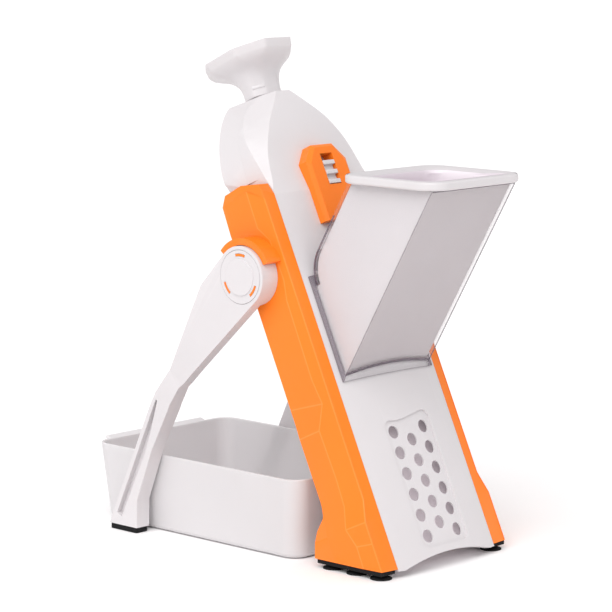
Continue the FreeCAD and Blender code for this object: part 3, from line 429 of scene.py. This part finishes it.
chute = soften("feed_chute", "chute", CLEAR, 0.8, 2)
narrow_faces(chute, NARROW)
chute.modifiers["soft_edges"].material = EDGE_FACE

# %% [markdown]
# ## The leaning frame
# The body leans back, and most shapes on it are plain boxes and rings when seen along it.
# They could be built upright and turned, but then every piece would carry its own turn. So
# they are drawn in a leaning frame: x across, d rearwards and s up along the body, and one
# function stands its points in the room. A second one rounds the corners of an outline.

# %% the leaning frame
LEAN = math.radians(25.2)
FEET = 6.8                     # the rails' lower end above the table
SHIFT = -137.728               # the model's origin is the middle of its footprint
HALF_SIDE = 0.48               # corners are eased over less than half of a side


def leaned(x, d, s):
    """A point of the leaning frame in room metres; arguments in millimetres."""
    y = s * math.sin(LEAN) + d * math.cos(LEAN) + SHIFT
    return Vector((x, y, FEET + s * math.cos(LEAN) - d * math.sin(LEAN))) * MM


def eased(corners, reach, steps=5):
    """Round every corner of a closed outline; reach is how far along its sides."""
    points = []
    for index, corner in enumerate(corners):
        here = Vector(corner)
        before, after = Vector(corners[index - 1]), Vector(corners[(index + 1) % len(corners)])
        first, last = (here + (end - here).normalized()
                       * min(reach, (end - here).length * HALF_SIDE) for end in (before, after))
        for step in range(steps):
            t = step / (steps - 1)
            points.append(first * (1 - t) ** 2 + here * (2 * t * (1 - t)) + last * t ** 2)
    return points


print("the rails' foot stands at", leaned(0.0, 0.0, 0.0))

# %% [markdown]
# ## Shapes drawn as stacks of rings
# The press knob and the pusher's rolled rim change section all the way up. Sculpting would
# lose their measures, and a turned profile only makes round things. So they are made as a
# pattern maker would think of them: one closed ring of points per height, joined by faces.

# %% the ring helper
RING_SHARP_DEGREES = 32.0


def skin_piece(work, name, *materials):
    """Turn finished mesh work into a smooth shaded piece with its finishes."""
    bmesh.ops.recalc_face_normals(work, faces=work.faces)
    mesh = bpy.data.meshes.new(name)
    work.to_mesh(mesh)
    work.free()
    for material in materials:
        mesh.materials.append(material)
    mesh.polygons.foreach_set("use_smooth", [True] * len(mesh.polygons))
    piece = bpy.data.objects.new(name, mesh)
    scene.collection.objects.link(piece)
    print(name, "faces:", len(mesh.polygons))
    return piece


def ring_stack(name, rings, material, body, capped=True):
    """A skin through closed rings of equal length, closed at both ends unless told not to."""
    work = bmesh.new()
    loops = [[work.verts.new(point) for point in ring] for ring in rings]
    for low, high in zip(loops, loops[1:]):
        for i in range(len(low)):
            j = (i + 1) % len(low)
            work.faces.new((low[i], low[j], high[j], high[i]))
    if capped:
        work.faces.new(loops[0][::-1])
        work.faces.new(loops[-1])
    piece = skin_piece(work, name, material)
    piece.data.set_sharp_from_angle(angle=math.radians(RING_SHARP_DEGREES))
    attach(piece, body)
    return piece


print("folds of a ring stack stay sharp from", RING_SHARP_DEGREES, "degrees")


# %% [markdown]
# ## Dark lines of the clear walls
# A clear sheet shows a dark line wherever two of its walls meet, because light is trapped
# there. Darker colour alone gives no line, since the walls have no face there to carry it.
# Slim strips along the chute's front corners and under its mouth give these lines a width.

# %% lines along the chute's front wall
FEED_TILT = math.radians(29.7) + LEAN
WALL_FROM, CHUTE_X = 140.0, 45.9               # where the front wall starts; chute's half width
WALL_FOOT, WALL_TOP = 3.0, 163.0               # ends of the lines, along the wall
PROUD, SUNK = 0.07, -0.3                       # how the strips stand out of the wall and in it
CORNER_WIDE, CORNER_FAINT, CORNER_OUT = 0.75, 0.45, 0.02
MOUTH_TALL, MOUTH_IN = 0.9, 1.0


def on_wall(x, along, lift):
    """A point on the chute's front wall; lift is how far it stands off the wall."""
    d = -along * math.sin(FEED_TILT) - lift * math.cos(FEED_TILT)
    s = WALL_FROM + along * math.cos(FEED_TILT) - lift * math.sin(FEED_TILT)
    return leaned(x, d, s)


def wall_strip(name, left, right, low, high, material=CLEAR_EDGE):
    """A thin strip on the front wall, from low to high along it."""
    rings = [[on_wall(left, along, PROUD), on_wall(right, along, PROUD),
              on_wall(right, along, SUNK), on_wall(left, along, SUNK)] for along in (low, high)]
    ring_stack(name, rings, material, "body")


wall_strip("chute_corner_right", CHUTE_X - CORNER_WIDE, CHUTE_X + CORNER_OUT, WALL_FOOT,
           WALL_TOP)
wall_strip("chute_corner_left", -CHUTE_X - CORNER_OUT, CORNER_FAINT - CHUTE_X, WALL_FOOT,
           WALL_TOP, CLEAR_PAINTED_SHADE)
wall_strip("chute_mouth_line", MOUTH_IN - CHUTE_X, CHUTE_X - MOUTH_IN, WALL_TOP - MOUTH_TALL,
           WALL_TOP)

# %% [markdown]
# At its foot the wall meets the bulging flange in a curve. Working that curve out again from
# the bulge's radius would be a second source for one shape, so we read it off the chute: its
# points are the corners that belong to a wall face and to a flange face at once.

# %% the line at the chute's foot
FOOT_TALL, FOOT_OUT, FOOT_IN, FOOT_APART = 2.1 * MM, 0.1 * MM, 0.4 * MM, 0.2 * MM
UP = Vector(FEED_UP)

touching = {}
for face in chute.data.polygons:
    kind = "wall" if face.normal.dot(FEED_FRONT) > WALL_COS else (
        "flange" if face.normal.dot(BODY_FRONT) > FLANGE_COS else None)
    for index in face.vertices:
        touching.setdefault(index, set()).add(kind)
shared = sorted((chute.data.vertices[i].co.copy() for i, kinds in touching.items()
                 if {"wall", "flange"} <= kinds), key=lambda point: point.x)
foot = [a for a, b in zip(shared, shared[1:]) if b.x - a.x > FOOT_APART] + shared[-1:]
ring_stack("chute_foot_line", [[p + UP * FOOT_TALL + FEED_FRONT * FOOT_OUT,
                                p + FEED_FRONT * FOOT_OUT, p - FEED_FRONT * FOOT_IN,
                                p + UP * FOOT_TALL - FEED_FRONT * FOOT_IN]
                               for p in foot], CLEAR_EDGE, "body")

# %% [markdown]
# Behind its side walls the chute bends back into the body, and the bend shows as a dark arc
# from the side. Picking the bend's own faces would colour the whole bend, and only its side
# is dark. So we repeat the CAD's axis and radius for the arc, and let the line run on a
# little way up the rear wall, where it ends beside the lock plate.

# %% the lines on the rear bend
BEND_D, BEND_S, BEND_R = -32.0, 211.4, 28.0    # axis and radius of the chute's rear bend
BEND_STEPS, RUN_ON = 11, (15.0, 30.0)
LINE_IN, LINE_OUT, LINE_THICK = 0.8, 0.03, 1.1


def bend_line(name, side):
    """The dark line on the side of the rear bend, running on a little up the rear wall."""
    stations = [(step * FEED_TILT / BEND_STEPS, 0.0) for step in range(BEND_STEPS + 1)]
    stations += [(FEED_TILT, along) for along in RUN_ON]
    wide, slim, inner = CHUTE_X + LINE_OUT, CHUTE_X - LINE_IN, BEND_R - LINE_THICK
    rings = []
    for bent, on in stations:
        ring = []
        for x, r in ((wide, BEND_R), (slim, BEND_R), (slim, inner), (wide, inner)):
            d = BEND_D + r * math.cos(bent) - on * math.sin(FEED_TILT)
            s = BEND_S + r * math.sin(bent) + on * math.cos(FEED_TILT)
            ring.append(leaned(side * x, d, s))
        rings.append(ring)
    ring_stack(name, rings, CLEAR_EDGE, "body")


bend_line("chute_bend_left", -1)
bend_line("chute_bend_right", 1)

# %% [markdown]
# ## The press knob
# The palm knob is an eight-sided dish: a crisp rim you can grip, and below it a soft flare
# that flows into the neck with no edges. A subdivided box would round rim and flare alike.
# With rings the rim's corners are barely eased, and further down the easing grows until the
# flare is almost round, then the neck squares up again.

# %% the press knob
KNOB_TOP, ROD_DEPTH = 402.5, 29.0
CORNER_SHARE = 0.45            # how far along its half side each corner of the dish is cut
KNOB_RINGS = [                 # half width, half depth, height, corner easing, set back
    (31.0, 34.0, 0.0, 2.0, 2.0), (30.6, 33.6, -1.2, 2.0, 2.0), (30.0, 33.0, -5.6, 2.0, 2.0),
    (29.4, 32.4, -6.8, 2.4, 2.0), (27.6, 30.4, -9.6, 5.0, 2.0), (25.2, 26.8, -12.0, 7.0, 1.9),
    (22.6, 22.6, -14.2, 8.0, 1.6), (20.4, 18.8, -16.6, 7.0, 1.2), (18.6, 15.6, -19.4, 5.0, 0.8),
    (17.1, 13.2, -23.0, 3.6, 0.3), (16.0, 11.9, -26.6, 2.4, 0.0), (15.4, 11.4, -30.0, 1.8, 0.0),
    (15.4, 11.4, -35.6, 1.8, 0.0), (15.1, 11.1, -36.0, 1.8, 0.0),
]
CAP_RINGS = [
    (29.6, 32.6, 0.0, 2.0, 2.0), (28.6, 31.6, 0.5, 2.0, 2.0), (22.0, 25.0, 1.9, 4.0, 2.0),
    (12.0, 14.0, 2.8, 5.0, 2.0), (4.0, 5.0, 3.0, 2.0, 2.0),
]


def knob_ring(half_x, half_d, height, reach, back):
    """One eight-sided ring of the knob, at a height from its top."""
    cx, cd = half_x * CORNER_SHARE, half_d * CORNER_SHARE
    corners = [(half_x, cd), (cx, half_d), (-cx, half_d), (-half_x, cd), (-half_x, -cd),
               (-cx, -half_d), (cx, -half_d), (half_x, -cd)]
    return [leaned(p.x, ROD_DEPTH + back + p.y, KNOB_TOP + height) for p in eased(corners, reach)]


knob = ring_stack("press_knob", [knob_ring(*row) for row in KNOB_RINGS], WHITE, "handle")
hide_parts("handle_knob")
cap = ring_stack("press_knob_cap", [knob_ring(*row) for row in CAP_RINGS], WHITE, "handle")
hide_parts("knob_cap")

# %% [markdown]
# The neck carries a small raised bar, the trace of a latch in the mould. It lies across the
# slanted face between the neck's side and its front. A painted mark would not catch light,
# so it is a real low block, three rings high, a little smaller at its top than at its foot.

# %% the bar on the neck
BAR_S, BAR_RISE, BAR_LONG, BAR_HIGH = 373.4, 0.7, 4.6, 0.9
BAR_SPOT, BAR_ALONG = Vector((-11.15, -8.27)), Vector((8.47, -6.27)).normalized()
BAR_OUT = Vector((BAR_ALONG.y, -BAR_ALONG.x))
BAR_RINGS = [(-1.0, 0.5), (BAR_RISE * 0.6, 0.3), (BAR_RISE, -0.2)]   # lifted by, grown by


def bar_ring(rise, grow):
    """Rectangle on the slanted face, lifted by rise and grown by grow."""
    ring = []
    for along, up in ((-1, -1), (1, -1), (1, 1), (-1, 1)):
        spot = BAR_SPOT + BAR_ALONG * (along * (BAR_LONG + grow)) + BAR_OUT * rise
        ring.append(leaned(spot.x, ROD_DEPTH + spot.y, BAR_S + up * (BAR_HIGH + grow)))
    return ring


ring_stack("neck_bar", [bar_ring(*row) for row in BAR_RINGS], WHITE, "handle")

# %% [markdown]
# ## The pusher's rolled rim
# The pusher is a deep cup whose rim is rolled over like a jug's. From above, the opening has
# round corners although the cup is square inside. A bevel on the cup's own edge can't do
# that, because the corners inside and outside differ. So a stack of rounded rectangles
# starts on the lip, rolls over it and runs down into the cup along its slope.

# %% the rolled rim
RIM_LOW, RIM_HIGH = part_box("food_pusher")
FEED_SLOPE = math.tan(math.radians(29.7))
RIM_DEPTH = 90.68              # front to rear, which the cup's lean hides in its box
RIM_DEEPER = 1.07              # the roll reaches further in from front and rear than sideways
LIP_HIGH = 6.5                 # the lip is centred on the cup this far below its top
SLIDE_FROM, SLIDE_OVER = 4.0, 5.0   # rings follow the slope from this inset, fully after that
CUP_BELOW = 3.0                # faces this far below the top take the cup's finish
RIM_ROLL = [                   # in from the lip's edge, above its top, corner radius
    (1.3, -0.45, 15.7), (1.8, -0.1, 15.2), (2.6, 0.15, 15.0), (4.2, 0.2, 15.0), (6.2, -0.05, 15.0),
    (8.2, -0.8, 15.2), (9.8, -2.2, 15.4), (10.8, -4.4, 15.4), (11.0, -8.0, 15.0),
    (11.1, -14.0, 14.6), (11.2, -30.0, 14.0), (11.3, -60.0, 13.0),
]


def rim_ring(inset, rise, radius, steps=9):
    """A rounded rectangle round the rim, in room metres."""
    half_x = RIM_HIGH[0] / MM - inset - radius
    front = RIM_LOW[1] / MM
    deep = inset * RIM_DEEPER + radius
    near, far = front + deep, front + RIM_DEPTH - deep
    share = min(1.0, max(0.0, (inset - SLIDE_FROM) / SLIDE_OVER))
    slide = share * (-rise - LIP_HIGH) * FEED_SLOPE
    ring = []
    for x, y, start in ((half_x, far, 0), (-half_x, far, 90), (-half_x, near, 180),
                        (half_x, near, 270)):
        for step in range(steps):
            a = math.radians(start + 90 * step / (steps - 1))
            ring.append(Vector((x + radius * math.cos(a), y + radius * math.sin(a) + slide,
                                RIM_HIGH[2] / MM + rise)) * MM)
    return ring


rim = ring_stack("pusher_rim", [rim_ring(*row) for row in RIM_ROLL], ROLL_PAINTED_SHADE, "pusher",
                 capped=False)
# The roll keeps the darker roll finish, painted shade; its faces below the lip take the cup
# finish, painted light.
rim.data.materials.append(CUP_PAINTED_LIGHT)
for face in rim.data.polygons:
    face.material_index = int(face.center.z < RIM_HIGH[2] - CUP_BELOW * MM)

# %% [markdown]
# The cup itself would show through the roll: its flat top lies just under the lip, and its
# square inner corners stand in front of the round ones. Cutting it with a boolean would
# leave ragged faces. It loses its flat top, and its inner walls start a little lower along
# the slope, so the roll has room.

# %% the cup under the roll
ROLL_ROOM, MOUTH_INSET, INNER_HALF = 6.0, 9.0, 42.5
FACES_UP, TOP_SKIN, TOP_SLACK = 0.9, 0.3, 0.1

pusher = soften("food_pusher_moulding", "food_pusher", WHITE, 1.8, 4)
cup = bmesh.new()
cup.from_mesh(pusher.data)
flat_top = [f for f in cup.faces if f.normal.z > FACES_UP
            and f.calc_center_median().z > RIM_HIGH[2] - TOP_SKIN * MM]
bmesh.ops.delete(cup, geom=flat_top, context="FACES")
for vert in cup.verts:
    at_top = vert.co.z > RIM_HIGH[2] - TOP_SLACK * MM
    in_mouth = (abs(vert.co.x) < RIM_HIGH[0] - MOUTH_INSET * MM
                and MOUTH_INSET < (vert.co.y - RIM_LOW[1]) / MM < RIM_DEPTH - MOUTH_INSET)
    if at_top and in_mouth:
        vert.co += Vector((0.0, FEED_SLOPE, -1.0)) * (ROLL_ROOM * MM)
cup.to_mesh(pusher.data)
cup.free()
# The faces inside the hollow take the cup finish: painted light, lighter and glowing.
pusher.data.materials.append(CUP_PAINTED_LIGHT)
for face in pusher.data.polygons:
    widest = max(abs(pusher.data.vertices[i].co.x) for i in face.vertices)
    if widest < INNER_HALF * MM and face.center.z < RIM_HIGH[2] - LIP_HIGH * MM:
        face.material_index = 1
print("top faces given over to the rolled rim:", len(flat_top))

# %% [markdown]
# ## Facets on the rails
# The rails' outer faces are cut like a gem: a crease wanders down each one, close to the
# front at the hub and further back at the foot, with a small slanted facet half way. Relief
# in the material could draw the creases, but it would vanish at the outline and when light
# grazes the rail. So a thin faceted skin lies on the plain rail, a millimetre or so proud.

# %% the shape of the faceted skins
RAIL_OUT, FOOT_GROW = 64.6, 5.4
FOOT_FROM, FOOT_TO = 54.0, 38.0        # the foot widens between these heights
FRONT_LIP, FRONT_EDGE = (-1.6, 1.2), (-1.1, 1.75)     # out and back, in front of the crease
REAR_EDGE_D, REAR_LIP = 40.3, (-0.4, 40.9)            # and behind it
SKIN_ROWS = [                  # s in front; crease d, s, rise; s behind, rise behind
    (282.0, 15.3, 292.0, 0.40, 290.5, 0.10), (264.0, 15.5, 264.0, 0.60, 264.0, 0.10),
    (251.0, 8.0, 252.0, 0.30, 250.0, 0.10), (221.0, 7.2, 221.0, 0.30, 221.0, 0.10),
    (205.0, 10.6, 207.0, 0.35, 206.0, 0.15), (147.0, 11.4, 147.0, 0.50, 147.0, 0.10),
    (128.0, 9.0, 128.0, 0.50, 133.0, 0.10), (111.0, 19.0, 111.0, 1.60, 111.0, 1.20),
    (74.0, 18.0, 74.0, 1.40, 74.0, 0.90), (54.3, 19.0, 54.3, 1.30, 54.3, 0.70),
    (38.0, 20.2, 38.0, 0.60, 38.0, 0.20), (22.0, 15.5, 24.0, 0.30, 26.0, 0.10),
    (1.6, 16.0, 8.2, 0.10, 19.7, 0.05),
]
LONG_CREASES = (1, 2)                  # the front edge and the long crease
CROSS_CREASES = {1: (10, 11), 2: (6, 7)}   # rows with a crease in front of it and behind it
CREASE_WIDE = 0.5


def flare(s):
    """How much wider the rail is at height s."""
    return FOOT_GROW * min(1.0, max(0.0, (FOOT_FROM - s) / (FOOT_FROM - FOOT_TO)))


print("rows of facets:", len(SKIN_ROWS))

# %% [markdown]
# Each skin is four strips of faces between five long lines. Its creases catch a thin bright
# line of light. A bevel on every edge would draw too many, so only the chosen edges carry a
# bevel weight, and the bevel takes a brighter orange: a painted highlight for that line of light.

# %% the faceted skins


def rail_skin(name, side):
    """The faceted skin of one rail; side is -1 for the left one and 1 for the right one."""
    work = bmesh.new()
    marked = work.edges.layers.float.new("bevel_weight_edge")
    rows = []
    for front_s, d, s, rise, rear_s, rear_rise in SKIN_ROWS:
        spots = [(*FRONT_LIP, front_s), (*FRONT_EDGE, front_s), (rise, d, s),
                 (rear_rise, REAR_EDGE_D, rear_s), (*REAR_LIP, rear_s)]
        rows.append([work.verts.new(leaned(side * (RAIL_OUT + flare(height) + out), depth, height))
                     for out, depth, height in spots])
    for upper, lower in zip(rows, rows[1:]):
        for i in range(len(upper) - 1):
            work.faces.new((upper[i], upper[i + 1], lower[i + 1], lower[i]))
    creases = [(upper[i], lower[i]) for upper, lower in zip(rows, rows[1:]) for i in LONG_CREASES]
    creases += [(rows[r][i], rows[r][i + 1]) for i, chosen in CROSS_CREASES.items()
                for r in chosen]
    for pair in creases:
        work.edges.get(pair)[marked] = 1.0
    # Finish 1 is the brighter orange, a painted highlight on the crease bevels.
    piece = skin_piece(work, name, ORANGE, CREASE_HIGHLIGHT)
    crease = piece.modifiers.new("creases", "BEVEL")
    crease.width, crease.segments, crease.material = CREASE_WIDE * MM, 2, 1
    crease.limit_method = "WEIGHT"
    even_shading(piece, 90)
    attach(piece, "body")


rail_skin("rail_skin_left", -1)
rail_skin("rail_skin_right", 1)

# %% [markdown]
# ## The outside pieces
# Every outside piece is rounded by what its tool would leave: legs, rails and the lock plate,
# which are held and knocked, have the largest radii, the shells a little less, and small
# caps and rubber the smallest. One radius for all would be less work, but it is what makes a
# model look like a toy. The cups are round already, so they only change their finish.

# %% round every outside piece
SIDES = ("left", "right")
soften("catch_tray", "tray", FROSTED, 0.9)
soften("body_front", "front_panel", WHITE, 0.8)
soften("body_rear", "rear_cover", WHITE, 0.6, 2)
soften("press_rod", "handle_rod", WHITE, 0.5, 2)
soften("lock_plate_moulding", "lock_plate", ORANGE, 1.0, angle=14)
soften("lock_thumb", "lock_slider", WHITE, 0.4, 2)
for side in SIDES:
    soften("rail_" + side, side + "_rail", ORANGE, 0.9, angle=12)
    soften("leg_strut_" + side, "leg_" + side, WHITE, 1.2)
    soften("pivot_cap_" + side, "hub_cap_" + side, WHITE, 0.5, 2)
    soften("rail_sole_" + side, "rail_pad_" + side, RUBBER, 0.5, 2)
    soften("leg_sole_" + side, "leg_foot_" + side, RUBBER, 0.6, 2)
    soften("suckers_" + side, "suction_cups_" + side, RUBBER, 0.0)

# %% [markdown]
# ## The return springs
# Two springs behind the shell pull the handle up: stretched at rest, they draw together as
# it rises. Here they keep their CAD shape, take the plated finish and get a mesh of their own.

# %% the return springs
for side in SIDES:
    node_name = "return_spring_" + side
    spring = soften("spring_" + side, node_name, PLATED, 0.0)
    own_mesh(spring)

# %% [markdown]
# ## Inside pieces
# What works behind the shell is seldom seen. It could be rounded like the rest, but that
# adds many faces that nobody looks at, and blades want their crisp edges. So these pieces
# keep their CAD shape and only need their finish.

# %% finishes for the inside pieces
# The inside plastic finish is painted light: lighter than the shell and glowing faintly.
INSIDE = {
    "blade_carrier": INNER_PAINTED_LIGHT, "landing_plate": INNER_PAINTED_LIGHT, "thickness_plate": INNER_PAINTED_LIGHT,
    "comb_bar": INNER_PAINTED_LIGHT, "v_blade": BLADE, "comb_blades": BLADE, "dial_shaft": BLADE,
    "thickness_dial": ORANGE, "cover_screws": PLATED, "blade_screws": PLATED,
}
for name, material in INSIDE.items():
    mesh = NODES[name].data
    mesh.materials.clear()
    mesh.materials.append(material)
print("inside pieces:", len(INSIDE))
